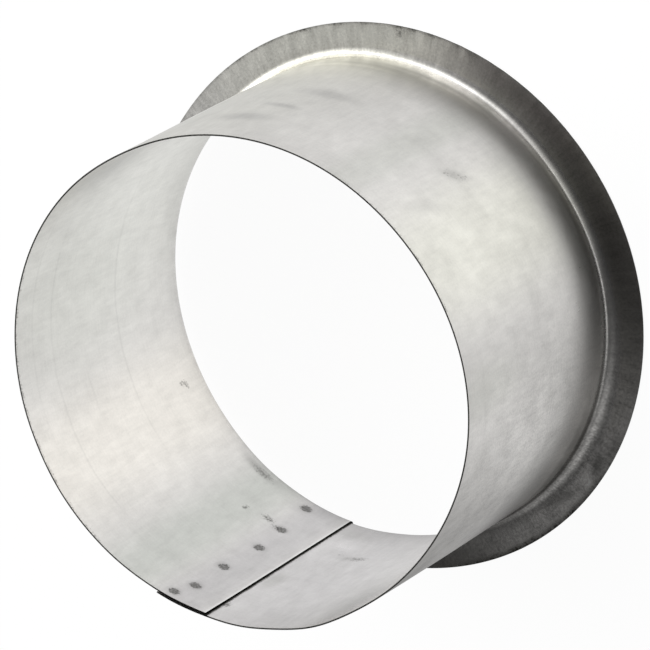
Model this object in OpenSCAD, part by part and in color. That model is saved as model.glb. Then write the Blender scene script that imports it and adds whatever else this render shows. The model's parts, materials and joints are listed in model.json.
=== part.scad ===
// Flanged duct collar, rolled from one strip of galvanised sheet.
// The strip is lapped and spot welded along its length, then one end is turned out into a flange.
// It stands on the flange: Z runs up the bore from the flange's back face, and the lap is on -Y.

/* [Sheet] */
// Thickness of the sheet
sheet_t = 0.5; // [0.4:0.05:0.8]

/* [Tube] */
// Outer diameter, 1 mm under the nominal 160 mm duct that goes over it
tube_d = 159; // [99:1:249]
// Overall length, from the back of the flange to the mouth
collar_h = 97; // [60:1:200]

/* [Flange] */
// How far the flange stands out from the tube
flange_w = 11.5; // [8:0.5:25]
// Radius of the corner between the tube and the front of the flange
bend_r = 3; // [2:0.25:5]

/* [Lap seam] */
// Width over which the two ends of the strip lie on each other
lap_w = 16.5; // [14:0.5:24]
// Hairline gap between the two plies
ply_gap = 0.05; // [0.02:0.01:0.1]
// Length of strip in which the outer ply leaves the round of the tube for its place in the lap
ease_w = 20; // [12:1:25]

/* [Spot welds] */
// Number of spot welds
weld_count = 6; // [3:1:6]
// Diameter of a spot weld
weld_d = 3.5; // [2.5:0.25:4.5]
// Depth of the dimple that the electrode leaves on each side
dimple_h = 0.12; // [0.05:0.01:0.2]
// Height of the lowest weld over the back of the flange
weld_foot = 8.4; // [7:0.2:12]
// Distance from the highest weld to the mouth
weld_lip = 4; // [3:0.5:10]
// Distance of the row of welds from the middle of the lap, towards the outer ply's end
weld_side = 3; // [0:0.5:3]

/* [Hidden] */

// The welds were set by hand: how far each strays up the lap, as a share of the pitch, and across it
WELD_RISE = [0, 0.16, 0.14, 0.37, 0.46, 0];
WELD_STRAY = [1.9, 0.1, -1.5, -0.3, -1, 1.5];

tube_r = tube_d / 2;
mid_r = tube_r - sheet_t / 2;
flange_r = tube_r + flange_w;
ply_pitch = sheet_t + ply_gap;
weld_pitch = (collar_h - weld_foot - weld_lip) / (weld_count - 1);
// How far a cutting shape runs past what it cuts, and a ply past the end of the other
CLEAR = 1;

// Angle round the tube of a length of strip
function turn(length) = length / mid_r * 180 / PI;

// The free ends of the two plies, and the angles at which each leaves the round of the tube.
// The inner ply is set in by one small step, and the outer one eases out in several.
LAP_AT = -90;
EASE_STEPS = 3;
ease_step = turn(ease_w / EASE_STEPS);
outer_end = LAP_AT - turn(lap_w / 2);
inner_end = LAP_AT + turn(lap_w / 2);
inner_start = outer_end - turn(CLEAR);
outer_full = inner_end + turn(CLEAR);
outer_start = outer_full + EASE_STEPS * ease_step;

// Offset of each ply, as [bend's centre moved in, radii of the bend made smaller]. The inner ply
// only moves in, by half a pitch, and the outer one lies round it, one pitch further out.
INNER = [ply_pitch / 2, 0];
OUTER = [ply_pitch / 2, ply_pitch];

// Half-section of all that lies outside a wall and in front of a back face, with a round corner
module beyond(wall, back, corner, over = 0) {
    difference() {
        translate([wall, back])
            square([flange_r + over - wall, collar_h + over - back]);
        difference() {
            translate([wall - CLEAR, back - CLEAR])
                square(corner + CLEAR);
            translate([wall + corner, back + corner])
                circle(r = corner, $fn = 96);
        }
    }
}

// The flanged sheet turned all the way round, with the offset of a ply
module full_round(offset = [0, 0]) {
    centre_r = tube_r + bend_r - offset[0];
    outer_r = bend_r - offset[1];
    bore_r = outer_r + sheet_t;
    rotate_extrude($fn = 240)
        difference() {
            beyond(centre_r - bore_r, offset[1], bore_r);
            beyond(centre_r - outer_r, offset[1] + sheet_t, outer_r, CLEAR);
        }
}

// Wedge between two angles, from the axis outwards
module wedge(from, to) {
    reach = 2 * flange_r;
    translate([0, 0, -CLEAR])
        linear_extrude(collar_h + 2 * CLEAR)
            polygon([
                [0, 0],
                reach * [cos(from), sin(from)],
                reach * [cos(to), sin(to)]
            ]);
}

// A stretch of the sheet between two angles, with the offset of a ply
module stretch(from, to, offset) {
    intersection() {
        full_round(offset);
        wedge(from, to);
    }
}

// End of the strip inside the lap, from where it leaves the round
module inner_ply() {
    stretch(inner_start, inner_end, INNER);
}

// End of the strip outside it
module outer_ply() {
    for (i = [1 : EASE_STEPS])
        stretch(
            outer_start - i * ease_step,
            outer_start - (i - 1) * ease_step,
            OUTER * i / (EASE_STEPS + 1)
        );
    stretch(outer_end, outer_full, OUTER);
}

// The round of the tube, all the way from one ply to the other
module round_sheet() {
    difference() {
        full_round();
        wedge(inner_start, outer_start);
    }
}

// Puts a child on the lap at weld i, with its Z axis pointing out of the tube
module at_weld(i) {
    across = weld_side + WELD_STRAY[i];
    rotate([0, 0, LAP_AT - turn(across)])
        translate([mid_r, 0, weld_foot + (i + WELD_RISE[i]) * weld_pitch])
            rotate([0, 90, 0])
                children();
}

// Weld metal across the gap between the plies
module weld_nugget() {
    cylinder(h = sheet_t, d = weld_d, center = true, $fn = 48);
}

// What the two electrodes press in
module weld_dimples() {
    for (side = [0, 180])
        rotate([side, 0, 0])
            translate([0, 0, (ply_pitch + sheet_t) / 2 - dimple_h])
                cylinder(h = CLEAR, d = weld_d, $fn = 48);
}

module collar() {
    color("#C3C6C6")
        difference() {
            union() {
                round_sheet();
                inner_ply();
                outer_ply();
                for (i = [0 : weld_count - 1])
                    at_weld(i) weld_nugget();
            }
            for (i = [0 : weld_count - 1])
                at_weld(i) weld_dimples();
        }
}

collar();
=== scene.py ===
# Looks of a flanged duct collar, rolled from one strip of galvanised sheet and spot welded.
# Lengths are in millimetres, except the solids' box, the floor and the camera's range, which are
# in metres. The collar stands on its flange: Z runs up the bore to the open mouth, and the middle
# of the lap seam is on -Y.

import json
import math

import bpy
import numpy as np
from mathutils import Matrix, Vector


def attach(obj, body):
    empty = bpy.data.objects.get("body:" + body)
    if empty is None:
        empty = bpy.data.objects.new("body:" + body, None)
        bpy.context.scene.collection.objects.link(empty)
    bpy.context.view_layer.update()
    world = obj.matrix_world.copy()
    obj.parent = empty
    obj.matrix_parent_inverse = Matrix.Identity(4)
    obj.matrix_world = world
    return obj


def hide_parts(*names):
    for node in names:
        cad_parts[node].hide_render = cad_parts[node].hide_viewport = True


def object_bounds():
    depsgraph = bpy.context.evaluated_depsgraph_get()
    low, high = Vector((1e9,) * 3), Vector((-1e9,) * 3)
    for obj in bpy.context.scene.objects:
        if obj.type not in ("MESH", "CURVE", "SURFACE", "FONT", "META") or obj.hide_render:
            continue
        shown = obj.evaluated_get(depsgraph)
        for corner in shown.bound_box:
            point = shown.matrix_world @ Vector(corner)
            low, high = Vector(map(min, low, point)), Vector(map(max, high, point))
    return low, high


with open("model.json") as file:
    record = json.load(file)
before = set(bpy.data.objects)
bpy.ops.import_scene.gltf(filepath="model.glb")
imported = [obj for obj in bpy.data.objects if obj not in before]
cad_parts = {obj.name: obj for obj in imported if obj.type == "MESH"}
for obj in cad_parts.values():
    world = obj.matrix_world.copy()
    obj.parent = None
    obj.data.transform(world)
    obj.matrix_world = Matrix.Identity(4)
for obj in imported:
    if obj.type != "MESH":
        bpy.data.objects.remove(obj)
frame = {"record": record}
cad_box = [list(corner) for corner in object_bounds()]

# The rolled strip.
# The real piece is one strip of 0.5 mm galvanised steel, rolled round and lapped over itself at the
# seam. One end was then turned out into a flat flange on a bead roller. The plies are spot welded.

MM = 0.001
SHEET_MM = 0.5
spigot = next(mount for mount in frame["record"]["mounts"] if mount["name"] == "spigot")
TUBE_R_MM = spigot["dims"]["r_mm"]
LENGTH_MM = round(cad_box[1][2] / MM, 2)
FLANGE_WIDTH_MM = 11.5
FLANGE_R_MM = TUBE_R_MM + FLANGE_WIDTH_MM
BEND_R_MM = 3.0
PLY_PITCH_MM = 0.55

# The section laid flat, from the mouth down: the straight wall, then the bend, then the flange
WALL_MM = LENGTH_MM - BEND_R_MM - SHEET_MM
BEND_MM = math.pi / 2 * (BEND_R_MM + SHEET_MM / 2)

# The free ends of the strip, as angles round the tube. It runs from the end that lies outside the
# lap, once round, to the end inside it, whose cut is not quite square. Each ply keeps its place in
# the lap until a little past the other's end, and then eases back into the round
OUTER_END_DEG = -96.0
INNER_END_DEG = -82.9 + 360
INNER_SKEW_DEG = -0.3
PAST_END_DEG = 1.0
EASE_DEG = 14.5

COLUMNS = 480
ROWS = 100

MATH = "ShaderNodeMath"
MAP_RANGE = "ShaderNodeMapRange"
VECTOR_MATH = "ShaderNodeVectorMath"
TEX_COORD = "ShaderNodeTexCoord"


def add(tree, kind, *values, out=0, named=None, **settings):
    """Adds a node with its settings, sets or links its inputs, and returns one of its outputs."""
    node = tree.nodes.new(kind)
    for name, value in settings.items():
        setattr(node, name, value)
    filled = list(zip([socket for socket in node.inputs if socket.enabled], values))
    filled += [(node.inputs[name], value) for name, value in (named or {}).items()]
    for socket, value in filled:
        if isinstance(value, bpy.types.NodeSocket):
            tree.links.new(value, socket)
        else:
            socket.default_value = value
    outputs = [socket for socket in node.outputs if socket.enabled]
    return outputs[out] if outputs else None


rolling = bpy.data.node_groups.new("roll_and_flange", "GeometryNodeTree")
rolling.is_modifier = True
rolling_sizes = {
    "Tube radius": TUBE_R_MM,
    "Sheet": SHEET_MM,
    "Length": LENGTH_MM,
    "Flange radius": FLANGE_R_MM,
    "Bend radius": BEND_R_MM,
    "Ply pitch": PLY_PITCH_MM,
    "Outer end": OUTER_END_DEG,
    "Inner end": INNER_END_DEG,
    "Skew": INNER_SKEW_DEG,
    "Ease": EASE_DEG,
}
for name in rolling_sizes:
    rolling.interface.new_socket(name, in_out="INPUT", socket_type="NodeSocketFloat")
rolling.interface.new_socket("Finish", in_out="INPUT", socket_type="NodeSocketMaterial")
rolling.interface.new_socket("Geometry", in_out="OUTPUT", socket_type="NodeSocketGeometry")
size = rolling.nodes.new("NodeGroupInput").outputs
grid = rolling.nodes.new("GeometryNodeMeshGrid")
for name, value in (("Size X", 1), ("Size Y", 1), ("Vertices X", COLUMNS), ("Vertices Y", ROWS)):
    grid.inputs[name].default_value = value

# Shares of the strip's length and of its section. Columns lie closer at the lap, rows at the bend
share_along = add(rolling, "ShaderNodeSeparateXYZ", grid.outputs["UV Map"], out=0)
share_down = add(rolling, "ShaderNodeSeparateXYZ", grid.outputs["UV Map"], out=1)
spaced = []
for share, knots in (
    (share_along, ((0.16, 0.075), (0.8, 0.9))),
    (share_down, ((0.7, 0.812), (0.92, 0.921))),
):
    spaced.append(add(rolling, "ShaderNodeFloatCurve", 1.0, share))
    curve = spaced[-1].node.mapping
    for x, y in knots:
        curve.curves[0].points.new(x, y)
    for point in curve.curves[0].points:
        point.handle_type = "VECTOR"
    curve.update()
along, across = spaced

# The section: down the tube, round the bend and out along the flange
half_sheet = add(rolling, MATH, size["Sheet"], 0.5, operation="MULTIPLY")
middle_r = add(rolling, MATH, size["Tube radius"], half_sheet, operation="SUBTRACT")
bend_r = add(rolling, MATH, size["Bend radius"], half_sheet, operation="ADD")
foot = add(rolling, MATH, bend_r, half_sheet, operation="ADD")
straight = add(rolling, MATH, size["Length"], foot, operation="SUBTRACT")
arc = add(rolling, MATH, bend_r, math.pi / 2, operation="MULTIPLY")
brim_from = add(rolling, MATH, middle_r, bend_r, operation="ADD")
brim = add(rolling, MATH, size["Flange radius"], brim_from, operation="SUBTRACT")
developed = add(rolling, MATH, straight, arc, operation="ADD")
developed = add(rolling, MATH, developed, brim, operation="ADD")
down = add(rolling, MATH, across, developed, operation="MULTIPLY")
past = add(rolling, MATH, down, straight, operation="SUBTRACT")
past = add(rolling, MATH, past, 0.0, operation="MAXIMUM")
turn = add(rolling, MATH, past, bend_r, operation="DIVIDE")
turn = add(rolling, MATH, turn, math.pi / 2, operation="MINIMUM")
out = add(rolling, MATH, past, arc, operation="SUBTRACT")
out = add(rolling, MATH, out, 0.0, operation="MAXIMUM")
sine = add(rolling, MATH, turn, operation="SINE")
versine = add(rolling, MATH, turn, operation="COSINE")
versine = add(rolling, MATH, 1.0, versine, operation="SUBTRACT")
radius = add(rolling, MATH, bend_r, versine, middle_r, operation="MULTIPLY_ADD")
radius = add(rolling, MATH, radius, out, operation="ADD")
above = add(rolling, MATH, down, straight, operation="MINIMUM")
height = add(rolling, MATH, size["Length"], above, operation="SUBTRACT")
dropped = add(rolling, MATH, bend_r, sine, operation="MULTIPLY")
height = add(rolling, MATH, height, dropped, operation="SUBTRACT")

# The angle, and how far the strip has moved out or in for the lap
skewed = add(rolling, MATH, down, size["Length"], operation="DIVIDE")
far_end = add(rolling, MATH, skewed, size["Skew"], size["Inner end"], operation="MULTIPLY_ADD")
sweep = add(rolling, MATH, far_end, size["Outer end"], operation="SUBTRACT")
angle = add(rolling, MATH, sweep, along, size["Outer end"], operation="MULTIPLY_ADD")
outer_from = add(rolling, MATH, size["Inner end"], 360 - PAST_END_DEG, operation="SUBTRACT")
outer_to = add(rolling, MATH, outer_from, size["Ease"], operation="ADD")
outer = add(
    rolling, MAP_RANGE, angle, outer_from, outer_to, 1.0, 0.0, interpolation_type="SMOOTHSTEP"
)
inner_to = add(rolling, MATH, size["Outer end"], 360 - PAST_END_DEG, operation="ADD")
inner_from = add(rolling, MATH, inner_to, size["Ease"], operation="SUBTRACT")
inner = add(
    rolling, MAP_RANGE, angle, inner_from, inner_to, 0.0, 1.0, interpolation_type="SMOOTHSTEP"
)
half_pitch = add(rolling, MATH, size["Ply pitch"], 0.5, operation="MULTIPLY")
parted = add(rolling, MATH, outer, inner, operation="SUBTRACT")
radius = add(rolling, MATH, half_pitch, parted, radius, operation="MULTIPLY_ADD")
radius = add(rolling, MATH, radius, size["Flange radius"], operation="MINIMUM")
lift = add(rolling, MATH, size["Ply pitch"], outer, operation="MULTIPLY")
height = add(rolling, MATH, lift, sine, height, operation="MULTIPLY_ADD")

radians = add(rolling, MATH, angle, operation="RADIANS")
cosine = add(rolling, MATH, radians, operation="COSINE")
sine = add(rolling, MATH, radians, operation="SINE")
x = add(rolling, MATH, radius, cosine, operation="MULTIPLY")
y = add(rolling, MATH, radius, sine, operation="MULTIPLY")
point = add(rolling, "ShaderNodeCombineXYZ", x, y, height)
metres = add(rolling, VECTOR_MATH, point, named={"Scale": MM}, operation="SCALE")
# Where each point lies on the flat strip: along it and down its section, in millimetres
length = add(rolling, MATH, radians, size["Tube radius"], operation="MULTIPLY")
flat = add(rolling, "ShaderNodeCombineXYZ", length, down, 0.0)
kept = add(
    rolling,
    "GeometryNodeStoreNamedAttribute",
    grid.outputs["Mesh"],
    named={"Name": "strip_mm", "Value": flat},
    data_type="FLOAT_VECTOR",
    domain="POINT",
)
rolled = add(
    rolling, "GeometryNodeSetPosition", named={"Geometry": kept, "Position": metres}
)
rolled = add(rolling, "GeometryNodeRealizeInstances", rolled)
rolled = add(
    rolling, "GeometryNodeSetMaterial", named={"Geometry": rolled, "Material": size["Finish"]}
)
add(rolling, "NodeGroupOutput", rolled)

galvanised = bpy.data.materials.new("galvanised_steel_rolled")
cut_edge = bpy.data.materials.new("sheared_steel_edge")

flat_strip = bpy.data.objects.new("flat_strip", bpy.data.meshes.new("flat_strip"))
bpy.context.scene.collection.objects.link(flat_strip)
modifier = flat_strip.modifiers.new("roll", "NODES")
modifier.node_group = rolling
for item in rolling.interface.items_tree:
    if item.in_out == "INPUT":
        is_size = item.name in rolling_sizes
        modifier[item.identifier] = float(rolling_sizes[item.name]) if is_size else galvanised
evaluated = flat_strip.evaluated_get(bpy.context.evaluated_depsgraph_get())
collar_mesh = bpy.data.meshes.new_from_object(evaluated)
collar_mesh.name = "collar_sheet"
collar_mesh.materials.clear()
collar_mesh.materials.append(galvanised)
collar_mesh.materials.append(cut_edge)
bpy.data.objects.remove(flat_strip)
collar_sheet = bpy.data.objects.new("collar_sheet", collar_mesh)
bpy.context.scene.collection.objects.link(collar_sheet)

count = len(collar_mesh.vertices)
points = np.zeros(count * 3)
collar_mesh.vertices.foreach_get("co", points)
points = points.reshape(-1, 3) / MM
strip = np.zeros(count * 3)
collar_mesh.attributes["strip_mm"].data.foreach_get("vector", strip)
strip = strip.reshape(-1, 3)
angle = strip[:, 0] / TUBE_R_MM
turned = np.degrees(angle)
height = points[:, 2]
below = LENGTH_MM - height
radius = np.hypot(points[:, 0], points[:, 1])
# Share of the way from the root of the tube up to its mouth, and across the flange to its rim
ROOT_MM = 4.0
up = np.clip((height - ROOT_MM) / (LENGTH_MM - ROOT_MM), 0, 1)
across_flange = np.clip((radius - TUBE_R_MM) / FLANGE_WIDTH_MM, 0, 1)


def swell(gap, reach):
    """Share of a soft swelling that is left this far from its middle. At its reach it is 0.6."""
    return np.exp(-0.5 * (gap / reach) ** 2)


def fade(gap, reach):
    """Share that is left this far from a strong place. At its reach it is 0.37."""
    return np.exp(-((gap / reach) ** 2))


# Rolling and handling left the mouth a little out of round. Shares of the radius, cosine and sine,
# for two to five waves round the mouth, counted from MOUTH_FROM_DEG, which fade towards the flange
MOUTH_WAVES = {
    2: (0.0102, -0.0008),
    3: (-0.0022, -0.0033),
    4: (0.0012, -0.0012),
    5: (-0.0016, 0.0014),
}
MOUTH_FROM_DEG = 204.6
MOUTH_SMALLER_MM = 0.3
MOUTH_FADE = 1.5
wave_at = angle - math.radians(MOUTH_FROM_DEG)
push = np.full(count, -MOUTH_SMALLER_MM)
for n, (cosine_share, sine_share) in MOUTH_WAVES.items():
    push += TUBE_R_MM * (cosine_share * np.cos(n * wave_at) + sine_share * np.sin(n * wave_at))
push *= up**MOUTH_FADE

# The bead roller drew the root of the tube in on two sides and let it out between them: angle on
# the strip, reach in degrees before and after it, and movement outwards. It fades out on the
# flange. The last is the first again, for the outer end of the strip
ROOT_SMALLER_MM = 0.2
ROOT_SHAPE = [
    (230, 31, 21, -1.5),
    (54, 13, 15, -0.8),
    (118, 13, 20, 1.15),
    (-130, 31, 21, -1.5),
]
let_out = np.full(count, -ROOT_SMALLER_MM)
for at, before, after, out in ROOT_SHAPE:
    off = turned - at
    let_out += out * swell(off, np.where(off < 0, before, after))
push += let_out * 0.5 * (1 + np.cos(math.pi * up)) * (1 - across_flange)

# Where the mouth was knocked in or out: angle on the strip, reach in degrees, depth down the tube
# and movement outwards. The first two part the plies at the end of the lap
MOUTH_KNOCKS = [
    (-93.0, 6.0, 12, 0.25),
    (273.5, 4.0, 12, -0.15),
    (-73.0, 5.0, 25, 0.4),
    (-55.5, 5.5, 25, 0.5),
    (-41.0, 6.0, 30, -0.2),
    (136.0, 9.0, 40, -0.35),
    (92.0, 22.0, 60, -0.2),
    (220.0, 5.0, 25, -0.15),
]
for at, reach, depth, out in MOUTH_KNOCKS:
    push += out * swell(turned - at, reach) * fade(below, depth)

# The tube also keeps a few soft dents: angle on the strip, place down it, reach round the tube and
# along it, and movement outwards, all but the angle in mm. The first is a crease next to the lap
DENTS = [
    (-71.0, 66.5, 5.5, 1.6, -0.18),
    (-78.0, 9.0, 3.0, 5.0, 0.1),
    (112.0, 21.0, 7.0, 9.0, -0.22),
    (66.0, 48.0, 4.5, 4.0, -0.12),
    (103.0, 45.0, 6.0, 6.0, -0.12),
    (168.0, 40.0, 22.0, 16.0, 0.15),
    (20.0, 30.0, 12.0, 22.0, -0.15),
]
for at, down_to, wide, high, out in DENTS:
    along_mm = (turned - at) * math.radians(TUBE_R_MM)
    push += out * swell(along_mm, wide) * swell(below - down_to, high)

# The flange's rim isn't quite round: angle, reach in degrees and movement outwards. All of the
# sheet that lies under FLANGE_UNDER_MM is flange
RIM_SHAPE = [(60, 22, -0.55), (-35, 20, 0.2)]
FLANGE_UNDER_MM = 1.5
to_rim = np.where(height < FLANGE_UNDER_MM, across_flange**2, 0)
for at, reach, out in RIM_SHAPE:
    push += out * to_rim * swell(turned - at, reach)
# The roller left it rippled, most of all on one side: waves round the rim, their start and share.
# The lift keeps their low points from going under the back face
RIPPLE_MM = 0.035
RIPPLE_WAVES = [(104, 0, 1.0), (67, 40, 0.7)]
RIPPLED_DEG = 95
RIPPLED_REACH = 24
RIPPLED_ELSEWHERE = 0.25
RIM_LIFT_MM = 0.06
rippled = swell(turned - RIPPLED_DEG, RIPPLED_REACH) + RIPPLED_ELSEWHERE
ripple = sum(share * np.sin(np.radians(turned * n + start)) for n, start, share in RIPPLE_WAVES)
lifted = to_rim * (RIPPLE_MM * rippled * ripple + RIM_LIFT_MM)
# It was turned out a little past square, so that its rim lies lower than its root
ROOT_LIFT_MM = 0.5
LIFT_REACH_MM = 20
leaning = np.clip((FLANGE_R_MM - radius) / (FLANGE_WIDTH_MM - BEND_R_MM), 0, 1)
lifted += ROOT_LIFT_MM * leaning * fade(height, LIFT_REACH_MM)
# About a quarter turn on from the lap the bend is softer and runs out further into the flange
SOFT_BEND_MM = 5.0
SOFT_DEG = -6
SOFT_REACH = 20
SOFT_UP_MM = 8


def rise(bend):
    """How far a bend of this radius, in the middle of the sheet, stands over the flange."""
    short = np.clip(TUBE_R_MM - SHEET_MM / 2 + bend - radius, 0, bend)
    return bend - np.sqrt(bend**2 - short**2)


softer = rise(SOFT_BEND_MM + SHEET_MM / 2) - rise(BEND_R_MM + SHEET_MM / 2)
softer *= fade(np.maximum(height - BEND_R_MM, 0), SOFT_UP_MM)
lifted += softer * swell(turned - SOFT_DEG, SOFT_REACH)
# The roller's shoulder left a shallow groove round the root, on the side that is rippled
GROOVE_MM = 0.07
GROOVE_UP_MM = 7.5
GROOVE_HALF_MM = 1.3
GROOVE_REACH = 30
groove = fade(height - GROOVE_UP_MM, GROOVE_HALF_MM) * swell(turned - RIPPLED_DEG, GROOVE_REACH)
push -= GROOVE_MM * groove

radius = radius + push
points[:, 0] = radius * np.cos(angle)
points[:, 1] = radius * np.sin(angle)
points[:, 2] = height + lifted
collar_mesh.vertices.foreach_set("co", (points * MM).ravel())
collar_mesh.update()

thickness = collar_sheet.modifiers.new("thickness", "SOLIDIFY")
thickness.thickness = SHEET_MM * MM
thickness.offset = 0
thickness.use_even_offset = True
thickness.material_offset_rim = 1
evaluated = collar_sheet.evaluated_get(bpy.context.evaluated_depsgraph_get())
solid = bpy.data.meshes.new_from_object(evaluated)
collar_sheet.modifiers.clear()
collar_sheet.data = solid
solid.name = "collar_sheet"
solid.polygons.foreach_set("use_smooth", [True] * len(solid.polygons))
SHARP_DEG = 40
solid.set_sharp_from_angle(angle=math.radians(SHARP_DEG))

# Both faces of the sheet, each with its places on the flat strip and its normals. The outer face
# of the tube goes on as the front of the flange
count = len(solid.vertices)
points = np.zeros(count * 3)
solid.vertices.foreach_get("co", points)
points = points.reshape(-1, 3) / MM
normals = np.zeros(count * 3)
solid.vertices.foreach_get("normal", normals)
normals = normals.reshape(-1, 3)
strip = np.zeros(count * 3)
solid.attributes["strip_mm"].data.foreach_get("vector", strip)
strip = strip.reshape(-1, 3)
middle = np.zeros(count // 2 * 3)
collar_mesh.vertices.foreach_get("co", middle)
middle = np.tile(middle.reshape(-1, 3) / MM, (2, 1))
bpy.data.meshes.remove(collar_mesh)
angle = strip[:, 0] / TUBE_R_MM
turned = np.degrees(angle)
down_mm = strip[:, 1]
outwards = np.stack([np.cos(angle), np.sin(angle), np.zeros(count)], 1)
leaning = np.clip((down_mm - WALL_MM) / BEND_MM, 0, 1)[:, None]
outwards = outwards * (1 - leaning) + np.array([0, 0, 1]) * leaning
outer_face = ((points - middle) * outwards).sum(1) > 0


def patch(at, down_to, wide, high, on_outer, tilt=0):
    """Soft-edged share of each point in an oval: place in degrees and mm, half sizes in mm."""
    across = (turned - at) * math.radians(TUBE_R_MM)
    along = down_mm - down_to
    lean = math.radians(tilt)
    x = (across * math.cos(lean) + along * math.sin(lean)) / wide
    y = (along * math.cos(lean) - across * math.sin(lean)) / high
    return np.exp(-((x * x + y * y) ** 1.5)) * (outer_face == on_outer)


# The spot welds, as in the solids: angle on the tube and height. Each electrode pressed a dimple
# into the outer face of one ply and the inner face of the other
WELDS = [(-93.5, 8.4), (-92.2, 28.0), (-91.1, 44.6), (-91.9, 65.4), (-91.5, 83.9), (-93.2, 93.0)]
WELD_R_MM = 1.75
DIMPLE_MM = 0.12
# The flat middle of a dimple and the width of its slope, as shares of the weld's radius
DIMPLE_FLAT = 0.6
DIMPLE_SLOPE = 0.8
FAR_MM = 99.0
weld_gap = np.full(count, FAR_MM)
for weld_deg, weld_mm in WELDS:
    for at, on_outer in ((weld_deg, True), (weld_deg + 360, False)):
        gap = np.hypot((turned - at) * math.radians(TUBE_R_MM), down_mm - (LENGTH_MM - weld_mm))
        weld_gap = np.minimum(weld_gap, np.where(outer_face == on_outer, gap, FAR_MM))
up_slope = (weld_gap / WELD_R_MM - DIMPLE_FLAT) / DIMPLE_SLOPE
pressed = DIMPLE_MM * (1 - np.clip(up_slope, 0, 1))
points -= normals * pressed[:, None]
solid.vertices.foreach_set("co", (points * MM).ravel())
solid.update()


def to_linear(code):
    """Linear RGBA of an sRGB hex colour."""
    parts = [int(code[i : i + 2], 16) / 255 for i in (1, 3, 5)]
    return [c / 12.92 if c <= 0.04045 else ((c + 0.055) / 1.055) ** 2.4 for c in parts] + [1.0]


# Broad stains in the zinc, with painted light and shade among them, laid over each other: colour
# and strength, then the oval they fill. The painted ones are marked
ZINC = "#E1DFDC"
STAINS_AND_PAINTED_LIGHT = [
    ("#DFDFDA", 1.0, (160, 55, 60, 90, False)),
    # Painted light: a pale band inside the bore, on the side where the light falls in
    ("#F3EFE8", 1.0, (227, 50, 20, 160, False)),
    ("#CBCDC8", 0.9, (256, 50, 11, 120, False)),
    ("#CFD0CA", 0.5, (190, 30, 26, 42, False)),
    ("#C9C7C7", 1.0, (271, 50, 10, 150, False)),
    ("#D3D1D1", 1.0, (-72, 50, 32, 150, False)),
    ("#C4C4C2", 0.5, (152, 20, 9, 16, False)),
    ("#C4C4C2", 0.5, (-50, 18, 9, 16, False)),
    # Painted light: a pale band down the outer wall, where the metal catches the most light
    ("#ECEBE2", 1.0, (51, 40, 20, 90, True)),
    ("#D6D6D0", 0.6, (21, 12, 8, 22, True)),
    ("#D2D3CD", 0.6, (78, 40, 7, 90, True)),
    ("#DEDDD6", 0.9, (128, 60, 38, 120, True)),
    ("#B4B3B0", 0.6, (-80.5, 37, 3, 7, False)),
    ("#B4B3B0", 0.35, (-79, 86, 6, 4, False)),
    ("#9A9996", 0.5, (251, 90.3, 6.5, 2.2, False)),
    # Painted shade along the crease next to the lap
    ("#A9A8A6", 0.4, (-71.5, 66, 5, 2, False, 12)),
    ("#A9A8A6", 0.5, (111.7, 21.6, 9, 4, True)),
    ("#A9A8A6", 0.5, (108, 35, 7, 1.8, True, 10)),
    ("#A9A8A6", 0.4, (103.6, 52, 9, 4, True)),
    ("#A09F9C", 0.4, (66.3, 47.0, 2.2, 7.0, True, 31)),
    ("#B4B3B0", 0.25, (63, 22, 2.5, 8, True, 20)),
    ("#B4B3B0", 0.3, (1, 66, 26, 14, True)),
    ("#B4B3B0", 0.4, (-32, 6, 12, 12, True)),
    ("#B4B3B0", 0.3, (-16, 62, 14, 14, True)),
    # Painted highlight: a pale patch low on the outer wall, by the root
    ("#FAF9F4", 0.85, (57, 84.5, 46, 8, True)),
    # Painted shade: this and the next four darken the low wall and the flange on the dim side
    ("#8C8B89", 0.7, (-18, 89, 26, 4.5, True)),
    ("#807F7D", 0.8, (31, 105, 35, 8.5, True)),
    ("#868280", 1.0, (66, 106, 55, 9.5, True)),
    ("#7E7D7B", 0.55, (44, 92.2, 24, 1.9, True)),
    ("#6B6967", 0.7, (43, 100.5, 30, 3.4, True)),
    # Painted highlight along the flange's rim, where its edge catches the light
    ("#C4C1BE", 0.35, (54, 107.3, 34, 2.0, True)),
    ("#B4B3B0", 0.4, (-17, 98, 20, 2.2, True)),
    # Painted shade: this darkens the flange, and the next the low wall under the bend's highlight
    ("#706E6B", 1.0, (-75, 104, 48, 14, True)),
    ("#B4B3AB", 0.8, (114, 88, 48, 6.5, True)),
    ("#E4E3DA", 0.9, (122, 104, 42, 8, True)),
    # Painted shade over the bend's highlight, then a painted highlight low on the wall
    ("#C6C4BB", 0.8, (130, 95.5, 42, 5, True)),
    ("#F4F2EA", 0.8, (83, 87.5, 14, 3.5, True)),
    # Painted shade: a dark line along the root
    ("#575654", 0.95, (-16, 95.0, 44, 1.4, True)),
    ("#5E5D5A", 0.6, (-14, 103.5, 4.5, 1.8, True, -20)),
    ("#6F6E6B", 0.5, (-9, 105.2, 5, 1.2, True)),
    ("#6F6E6B", 0.5, (-26, 101.5, 6, 1.4, True, 15)),
    # Painted highlight: a thin light line low on the wall, under the bend
    ("#F4F2EA", 0.5, (112, 84.5, 18, 1.5, True)),
]
zinc = np.tile(to_linear(ZINC), (count, 1))
for code, strength, oval in STAINS_AND_PAINTED_LIGHT:
    share = strength * patch(*oval)[:, None]
    zinc = zinc * (1 - share) + np.array(to_linear(code)) * share

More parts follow.
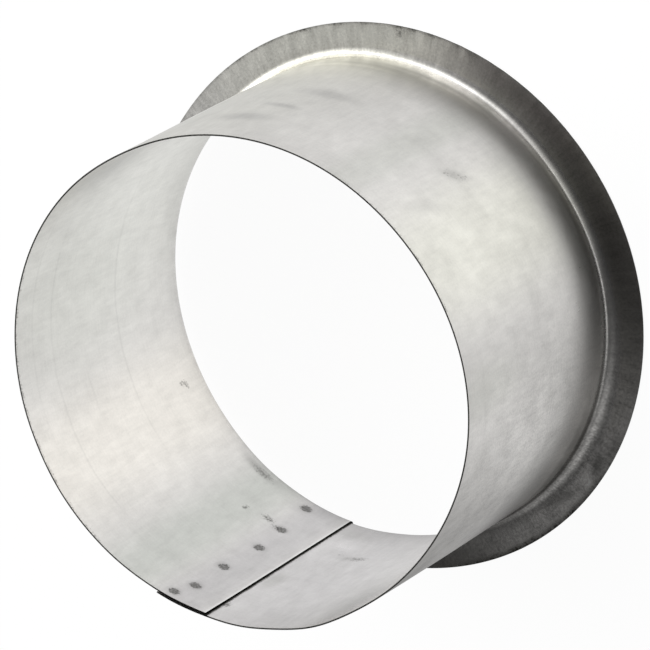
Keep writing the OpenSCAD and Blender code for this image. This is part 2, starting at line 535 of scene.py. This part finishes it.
# Dirt and handling marks, some of them painted shade: strength, then the oval. The first lie along
# the seam and by the welds, and the long thin ones, dirt with painted shade at the edge, along the
# mouth and the flange's rim
MARKS = [
    (0.5, (266.5, 68.5, 1.6, 1.2, False)),
    (0.6, (257.5, 68.2, 0.8, 0.9, False)),
    (0.4, (263.0, 70.5, 3.0, 1.2, False)),
    # Painted shade along the crease next to the lap
    (0.25, (-71.5, 66.0, 4.5, 1.2, False, 12)),
    # Painted shadow: the seam's dark line thickens near the mouth, where the plies stand apart
    (0.5, (-81.9, 11.0, 1.0, 1.6, False)),
    (0.4, (-75.0, 68.0, 2.0, 1.2, False)),
    (0.2, (251.0, 90.3, 6.0, 1.8, False)),
    (0.32, (215.0, 0.0, 60.0, 0.9, False)),
    (0.3, (58.0, 0.0, 30.0, 0.8, True)),
    (0.62, (122.0, 107.1, 62.0, 0.9, True)),
    (0.8, (223.9, 83.9, 0.9, 0.9, False)),
    (0.45, (223.2, 82.0, 0.8, 1.6, False)),
    (0.09, (66.3, 47.5, 1.4, 5.0, True, 31)),
    (0.6, (102.9, 104.4, 0.45, 1.6, True, 15)),
    (0.5, (102.2, 106.1, 0.4, 1.1, True, -30)),
    (0.8, (-38.0, 107.1, 42.0, 1.4, True)),
    (0.3, (86.0, 106.5, 6.0, 1.5, True)),
]
dirt_and_shade = np.zeros(count)
for strength, oval in MARKS:
    dirt_and_shade = np.maximum(dirt_and_shade, strength * patch(*oval))
# A painted shadow lies as a dark line against the inner ply's end, along the step of the lap, and a
# painted highlight runs along the end's burr
SEAM_SHADOW = 1.6
SEAM_SHADOW_MM = 0.95
BURR_HIGHLIGHT_MM = 0.9
once_round = math.radians(360) * TUBE_R_MM
seam_at = (INNER_END_DEG + INNER_SKEW_DEG * down_mm / LENGTH_MM) * math.radians(TUBE_R_MM)
from_end = np.where(outer_face, FAR_MM, np.abs(strip[:, 0] - seam_at))
from_seam = np.where(outer_face, FAR_MM, np.abs(strip[:, 0] - seam_at + once_round))
dirt_and_shade = np.maximum(dirt_and_shade, SEAM_SHADOW * (1 - np.clip(from_seam / SEAM_SHADOW_MM, 0, 1)))
burr_highlight = 1 - np.clip(from_end / BURR_HIGHLIGHT_MM, 0, 1)
# Scale from the welding reaches a little past each weld
HALO_MM = 4.0
halo = np.clip(1 - weld_gap / HALO_MM, 0, 1)
# Over the quarter turn on from the lap it was handled most, so its mottle is stronger there
HANDLED = [
    (0.8, (-12, 55, 45, 60, True)),
    (1.0, (-28, 103, 52, 7, True)),
]
handled = sum(strength * patch(*oval) for strength, oval in HANDLED)
for name, kind, field, values in (
    ("zinc_and_painted_light", "FLOAT_COLOR", "color", zinc),
    ("handled", "FLOAT", "value", handled),
    ("marks", "FLOAT_VECTOR", "vector", np.stack([dirt_and_shade, halo, burr_highlight], 1)),
):
    layer = solid.attributes.new(name, kind, "POINT")
    layer.data.foreach_set(field, values.ravel())
# The strip's third number tells the material which face it is on
OUTER_FACE = 40.0
strip[:, 2] = np.where(outer_face, OUTER_FACE, 0.0)
solid.attributes["strip_mm"].data.foreach_set("vector", strip.ravel())

# Hot-dip galvanised steel, skin passed and then rolled: a satin metal. The zinc shows as a fine
# cloudy mottle drawn out across the strip, duller under its dirt and painted shade and at the burnt
# spot welds.
galvanised.use_nodes = True
tree = galvanised.node_tree
shader = tree.nodes["Principled BSDF"]
shader.inputs["Metallic"].default_value = 1.0
NOISE = "ShaderNodeTexNoise"
MIX = "ShaderNodeMix"
place = add(tree, "ShaderNodeAttribute", attribute_name="strip_mm", out=1)
mark = add(tree, "ShaderNodeAttribute", attribute_name="marks", out=1)
colour = add(tree, "ShaderNodeAttribute", attribute_name="zinc_and_painted_light", out=0)
dirt_and_shade = add(tree, "ShaderNodeSeparateXYZ", mark, out=0)
weld = add(tree, "ShaderNodeSeparateXYZ", mark, out=1)
burr_highlight = add(tree, "ShaderNodeSeparateXYZ", mark, out=2)

face = add(tree, "ShaderNodeSeparateXYZ", place, out=2)

# Each pattern: size in mm along the strip and across it, detail, roughness of the noise
PATTERNS = {
    "cloud": (26, 34, 3, 0.5),
    "mottle": (5.5, 8.0, 4, 0.6),
    "streak": (1.6, 9.0, 3, 0.55),
    "grain": (0.7, 0.9, 2, 0.6),
    "rolling": (60, 1.1, 3, 0.6),
    "ripple": (4.2, 10, 1.5, 0.5),
}
pattern = {}
for name, (wide, high, detail, rough) in PATTERNS.items():
    scaled = add(tree, VECTOR_MATH, place, (1 / wide, 1 / high, 1.0), operation="MULTIPLY")
    pattern[name] = add(
        tree, NOISE, scaled, named={"Scale": 1.0, "Detail": detail, "Roughness": rough}
    )

# How much each pattern lightens or darkens the zinc, roughens it, and raises it in mm
EFFECTS = {
    "cloud": (0.18, 0.08, 0.0),
    "mottle": (0.20, 0.12, 0.014),
    "streak": (0.17, 0.08, 0.008),
    "grain": (0.14, 0.05, 0.0035),
    "rolling": (0.08, 0.02, 0.0015),
}
SATIN_ROUGHNESS = 0.32
lightness = 1.0
roughness = SATIN_ROUGHNESS
relief = 0.0
for name, (light_by, rough_by, high_mm) in EFFECTS.items():
    centred = add(tree, MATH, pattern[name], 0.5, operation="SUBTRACT")
    lightness = add(tree, MATH, centred, light_by, lightness, operation="MULTIPLY_ADD")
    roughness = add(tree, MATH, centred, -rough_by, roughness, operation="MULTIPLY_ADD")
    relief = add(tree, MATH, centred, high_mm, relief, operation="MULTIPLY_ADD")

# The patterns are stronger outside, where the collar was handled most, and on the flange, where
# the beads of the roller left fine radial ripples: how much more each lightens or darkens there.
# The beads' marks begin just over the bend and are full before its foot
WORKED_FROM_MM = WALL_MM - 1.5
WORKED_TO_MM = WALL_MM + 4.5
outside = add(tree, MAP_RANGE, face, 0.0, OUTER_FACE, 0.0, 1.0)
handled = add(tree, "ShaderNodeAttribute", attribute_name="handled", out=2)
down = add(tree, "ShaderNodeSeparateXYZ", place, out=1)
worked = add(tree, MAP_RANGE, down, WORKED_FROM_MM, WORKED_TO_MM, 0.0, 1.0)
for where, stronger in (
    (outside, {"cloud": 0.14}),
    (handled, {"mottle": 0.5, "streak": 0.2, "cloud": 0.15, "grain": 0.7}),
    (worked, {"streak": 0.45, "grain": 0.5, "ripple": 0.36}),
):
    for name, light_by in stronger.items():
        centred = add(tree, MATH, pattern[name], 0.5, operation="SUBTRACT")
        centred = add(tree, MATH, centred, where, operation="MULTIPLY")
        lightness = add(tree, MATH, centred, light_by, lightness, operation="MULTIPLY_ADD")
# The ripples also stand up from the flange, which the roller burnished
RIPPLE_RELIEF_MM = 0.06
BURNISHED = -0.1
ripple = add(tree, MATH, pattern["ripple"], 0.5, operation="SUBTRACT")
ripple = add(tree, MATH, ripple, worked, operation="MULTIPLY")
relief = add(tree, MATH, ripple, RIPPLE_RELIEF_MM, relief, operation="MULTIPLY_ADD")
roughness = add(tree, MATH, worked, BURNISHED, roughness, operation="MULTIPLY_ADD")

# Faint scuffs run round inside the tube: depth down it, where their middle lies and how far they
# reach to either side, all in mm, and how much they darken
SCUFFS = [
    (20.0, 292, 62, 0.07),
    (57.5, 280, 60, 0.06),
    (36.0, 298, 9, 0.05),
    (9.0, 250, 70, 0.04),
]
# They wander a little up and down, are soft at their sides, and fade towards their ends
WANDER_MM = 2.4
SCUFF_HALF_MM = 0.1
SCUFF_SOFT_MM = 0.8
FULL_SHARE = 0.6
sideways = add(tree, "ShaderNodeSeparateXYZ", place, out=0)
inside = add(tree, MATH, 1.0, outside, operation="SUBTRACT")
for scuff_down, middle_mm, reach, darker in SCUFFS:
    wander = add(tree, MATH, pattern["cloud"], WANDER_MM, down, operation="MULTIPLY_ADD")
    gap = add(tree, MATH, wander, scuff_down + WANDER_MM / 2, operation="SUBTRACT")
    gap = add(tree, MATH, gap, operation="ABSOLUTE")
    line = add(tree, MAP_RANGE, gap, SCUFF_HALF_MM, SCUFF_SOFT_MM, darker, 0.0)
    gap = add(tree, MATH, sideways, middle_mm, operation="SUBTRACT")
    gap = add(tree, MATH, gap, operation="ABSOLUTE")
    ends = add(tree, MAP_RANGE, gap, reach, FULL_SHARE * reach, 0.0, 1.0)
    line = add(tree, MATH, line, ends, operation="MULTIPLY")
    line = add(tree, MATH, line, inside, operation="MULTIPLY")
    lightness = add(tree, MATH, lightness, line, operation="SUBTRACT")

# Dirt and painted shade break up with the mottle and the grain, and the weld's scale is ragged at
# its edge. Each pair says at which level something begins and at which it is full
DIRT_AND_SHADE_RAGGED = 1.3
DIRT_AND_SHADE_LEVELS = (0.12, 0.85)
LEAST_DIRT_AND_SHADE = 0.02
SCALE_RAGGED = 0.5
SCALE_LEVELS = (0.42, 0.62)
SPECKLE_LEVELS = (0.35, 0.65)
LEAST_SCALE = 0.55
HALO_LEVELS = (0.1, 0.75)
HALO_SHARE = 0.25
ragged = add(tree, MATH, pattern["mottle"], pattern["grain"], operation="ADD")
ragged = add(tree, MATH, ragged, 1.0, operation="SUBTRACT")
dirty_and_shaded = add(tree, MATH, ragged, DIRT_AND_SHADE_RAGGED, dirt_and_shade, operation="MULTIPLY_ADD")
dirty_and_shaded = add(tree, MAP_RANGE, dirty_and_shaded, *DIRT_AND_SHADE_LEVELS, 0.0, 1.0)
marked = add(tree, MATH, dirt_and_shade, LEAST_DIRT_AND_SHADE, operation="GREATER_THAN")
dirty_and_shaded = add(tree, MATH, dirty_and_shaded, marked, operation="MULTIPLY")
burnt = add(tree, MATH, ragged, SCALE_RAGGED, weld, operation="MULTIPLY_ADD")
burnt = add(tree, MAP_RANGE, burnt, *SCALE_LEVELS, 0.0, 1.0, interpolation_type="SMOOTHSTEP")
speckled = add(tree, MAP_RANGE, pattern["grain"], *SPECKLE_LEVELS, LEAST_SCALE, 1.0)
burnt = add(tree, MATH, burnt, speckled, operation="MULTIPLY")
haloed = add(tree, MAP_RANGE, weld, *HALO_LEVELS, 0.0, HALO_SHARE)

colour = add(tree, VECTOR_MATH, colour, named={"Scale": lightness}, operation="SCALE")
# Dirt with painted shade, the weld's scale, and the painted highlight on the burr
DIRT_AND_SHADE = to_linear("#4A4945")
SCALE_GREY = to_linear("#72716F")
PAINTED_BURR_HIGHLIGHT = to_linear("#F0F0EE")
colour = add(tree, MIX, dirty_and_shaded, colour, DIRT_AND_SHADE, data_type="RGBA")
colour = add(tree, MIX, haloed, colour, SCALE_GREY, data_type="RGBA")
colour = add(tree, MIX, burnt, colour, SCALE_GREY, data_type="RGBA")
colour = add(tree, MIX, burr_highlight, colour, PAINTED_BURR_HIGHLIGHT, data_type="RGBA")
tree.links.new(colour, shader.inputs["Base Color"])
# Dirt, painted shade and scale are duller than the zinc, and the scale stands up a little
DULLER = 0.2
SCALE_RELIEF_MM = 0.03
roughness = add(tree, MATH, dirty_and_shaded, DULLER, roughness, operation="MULTIPLY_ADD")
roughness = add(tree, MATH, burnt, DULLER, roughness, operation="MULTIPLY_ADD")
tree.links.new(roughness, shader.inputs["Roughness"])
relief = add(tree, MATH, burnt, SCALE_RELIEF_MM, relief, operation="MULTIPLY_ADD")
relief = add(tree, "ShaderNodeBump", 1.0, MM, named={"Height": relief})
tree.links.new(relief, shader.inputs["Normal"])

# The sheared edge of the sheet shows bare steel, dulled by handling, so it is darker than the zinc
cut_edge.use_nodes = True
tree = cut_edge.node_tree
shader = tree.nodes["Principled BSDF"]
shader.inputs["Metallic"].default_value = 1.0
SHEAR_MARK_MM = 10 / 9
EDGE_ROUGHNESS = 0.5
EDGE_ROUGHER = 0.2
EDGE_DARK = to_linear("#393937")
EDGE_PALE = to_linear("#6A6965")
LAP_SHADE_BLACK = to_linear("#161615")
place = add(tree, TEX_COORD, out=3)
sheared = add(tree, NOISE, place, named={"Scale": 1 / (SHEAR_MARK_MM * MM), "Detail": 2.0})
colour = add(tree, MIX, sheared, EDGE_DARK, EDGE_PALE, data_type="RGBA")
# Round the lap the edges are painted near-black, as painted shade in the gap between the plies: the
# middle of the lap, as an angle on each ply
LAP_DEG = (-89.5, 270.5)
LAP_HALF_MM = 10.5
LAP_SHADE = 0.85
strip_x = add(tree, "ShaderNodeAttribute", attribute_name="strip_mm", out=1)
strip_x = add(tree, "ShaderNodeSeparateXYZ", strip_x, out=0)
at_lap = 0.0
for lap_deg in LAP_DEG:
    lap_mm = math.radians(lap_deg) * TUBE_R_MM
    near = add(tree, MATH, strip_x, lap_mm, LAP_HALF_MM, operation="COMPARE")
    at_lap = add(tree, MATH, near, at_lap, operation="MAXIMUM")
at_lap = add(tree, MATH, at_lap, LAP_SHADE, operation="MULTIPLY")
colour = add(tree, MIX, at_lap, colour, LAP_SHADE_BLACK, data_type="RGBA")
tree.links.new(colour, shader.inputs["Base Color"])
roughness = add(tree, MATH, sheared, EDGE_ROUGHER, EDGE_ROUGHNESS, operation="MULTIPLY_ADD")
tree.links.new(roughness, shader.inputs["Roughness"])

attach(collar_sheet, "root")
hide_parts("collar")

# The studio.
# A plain pale floor under the flange, and a few large soft white panels round it. They stand low,
# most of them to the upper left of the picture, and the room over and behind the camera is dim.

FLOOR_HALF = 6.0
FLOOR_BELOW = 0.0001
floor_mesh = bpy.data.meshes.new("floor")
corners = [(-1, -1), (1, -1), (1, 1), (-1, 1)]
floor_mesh.from_pydata(
    [(x * FLOOR_HALF, y * FLOOR_HALF, -FLOOR_BELOW) for x, y in corners], [], [(0, 1, 2, 3)]
)
floor = bpy.data.objects.new("floor", floor_mesh)
bpy.context.scene.collection.objects.link(floor)
paper = bpy.data.materials.new("matt_white_paper")
paper.use_nodes = True
tree = paper.node_tree
tree.nodes.clear()
rays = tree.nodes.new("ShaderNodeLightPath").outputs

# The metal sees a floor that is bright on one side of the collar and dim on the other: heading in
# degrees and shade there
FLOOR_SHADES = [
    (-180, 0.80),
    (-130, 0.72),
    (-100, 0.62),
    (-75, 0.45),
    (-48, 0.43),
    (-27, 0.57),
    (-8, 0.76),
    (12, 0.77),
    (33, 0.94),
    (50, 1.0),
    (75, 0.98),
    (105, 0.86),
    (180, 0.80),
]
place = add(tree, TEX_COORD, out=3)
place_x = add(tree, "ShaderNodeSeparateXYZ", place, out=0)
place_y = add(tree, "ShaderNodeSeparateXYZ", place, out=1)
heading = add(tree, MATH, place_y, place_x, operation="ARCTAN2")
heading = add(tree, MATH, heading, 0.5 / math.pi, 0.5, operation="MULTIPLY_ADD")
shade = add(tree, "ShaderNodeFloatCurve", 1.0, heading)
curve = shade.node.mapping.curves[0]
curve.points[0].location = (0, FLOOR_SHADES[0][1])
curve.points[1].location = (1, FLOOR_SHADES[-1][1])
for degrees, level in FLOOR_SHADES[1:-1]:
    curve.points.new(degrees / 360 + 0.5, level)
shade.node.mapping.update()
# Inside the tube it is plain white
BORE_FROM = 0.07
BORE_TO = 0.09
spread = add(tree, VECTOR_MATH, place, operation="LENGTH")
in_bore = add(tree, MAP_RANGE, spread, BORE_FROM, BORE_TO, 1.0, 0.0)
shade = add(tree, MATH, shade, in_bore, operation="MAXIMUM")
# The camera sees plain white with a little of the matt paper in it, which keeps the shadow
WHITE_SHARE = 0.88
WHITE_LEVEL = 1.08
seen = add(tree, MATH, rays["Is Camera Ray"], rays["Is Transmission Ray"], operation="MAXIMUM")
level = add(tree, MIX, rays["Is Glossy Ray"], WHITE_LEVEL, shade, data_type="FLOAT")
seen = add(tree, MATH, seen, WHITE_SHARE, operation="MULTIPLY")
seen = add(tree, MATH, seen, rays["Is Glossy Ray"], operation="MAXIMUM")
matt = add(tree, "ShaderNodeBsdfDiffuse", to_linear("#E6E6E6"))
glow = add(tree, "ShaderNodeEmission", (1, 1, 1, 1), level)
mixed = add(tree, "ShaderNodeMixShader", seen, matt, glow)
add(tree, "ShaderNodeOutputMaterial", mixed)
floor_mesh.materials.append(paper)

# Each panel, as azimuth and elevation of its middle in degrees, and its brightness there
PANELS = [
    (135, 8, 1.7),
    (180, 8, 2.3),
    (180, 35, 1.4),
    (105, 8, 1.9),
    (55, 4, 0.4),
    (315, 25, 0.4),
    (60, 56, 0.06),
]
ROOM_LEVEL = 0.04
# How fast a panel fades away from its middle. At this rate it is about 60 degrees across
PANEL_FADE = 8.5
world = bpy.data.worlds.new("studio")
bpy.context.scene.world = world
world.use_nodes = True
tree = world.node_tree
tree.nodes.clear()
direction = add(tree, TEX_COORD)
level = ROOM_LEVEL
for azimuth, elevation, brightness in PANELS:
    az, el = math.radians(azimuth), math.radians(elevation)
    middle = (math.cos(el) * math.cos(az), math.cos(el) * math.sin(az), math.sin(el))
    facing = add(tree, VECTOR_MATH, direction, middle, operation="DOT_PRODUCT")
    shine = add(tree, MATH, facing, PANEL_FADE, -PANEL_FADE, operation="MULTIPLY_ADD")
    shine = add(tree, MATH, shine, operation="EXPONENT")
    level = add(tree, MATH, shine, brightness, level, operation="MULTIPLY_ADD")
rays = tree.nodes.new("ShaderNodeLightPath").outputs
level = add(tree, MIX, rays["Is Camera Ray"], level, 1.0, data_type="FLOAT")
surround = add(tree, "ShaderNodeBackground", (1, 1, 1, 1), level)
add(tree, "ShaderNodeOutputWorld", surround)

# The camera of the photograph, a long lens from about 1.5 m
CAMERA_AT_MM = (527.58, 615.55, 1237.42)
CAMERA_LOOK = (-0.365889, -0.424388, -0.828264)
CAMERA_UP = (-0.400657, 0.875110, -0.271399)
SENSOR_MM = 36
PHOTO_PX = 650
FOCAL_PX = 4600
camera_data = bpy.data.cameras.new("camera")
camera_data.sensor_width = SENSOR_MM
camera_data.lens = FOCAL_PX / PHOTO_PX * SENSOR_MM
camera = bpy.data.objects.new("camera", camera_data)
bpy.context.scene.collection.objects.link(camera)
up_axis = Vector(CAMERA_UP).normalized()
back = -Vector(CAMERA_LOOK).normalized()
right = up_axis.cross(back)
camera.matrix_world = Matrix(
    (
        (right.x, up_axis.x, back.x, CAMERA_AT_MM[0] * MM),
        (right.y, up_axis.y, back.y, CAMERA_AT_MM[1] * MM),
        (right.z, up_axis.z, back.z, CAMERA_AT_MM[2] * MM),
        (0, 0, 0, 1),
    )
)
camera_data.clip_start = 0.05
camera_data.clip_end = 50
bpy.context.scene.camera = camera
bpy.context.scene.view_settings.view_transform = "Standard"
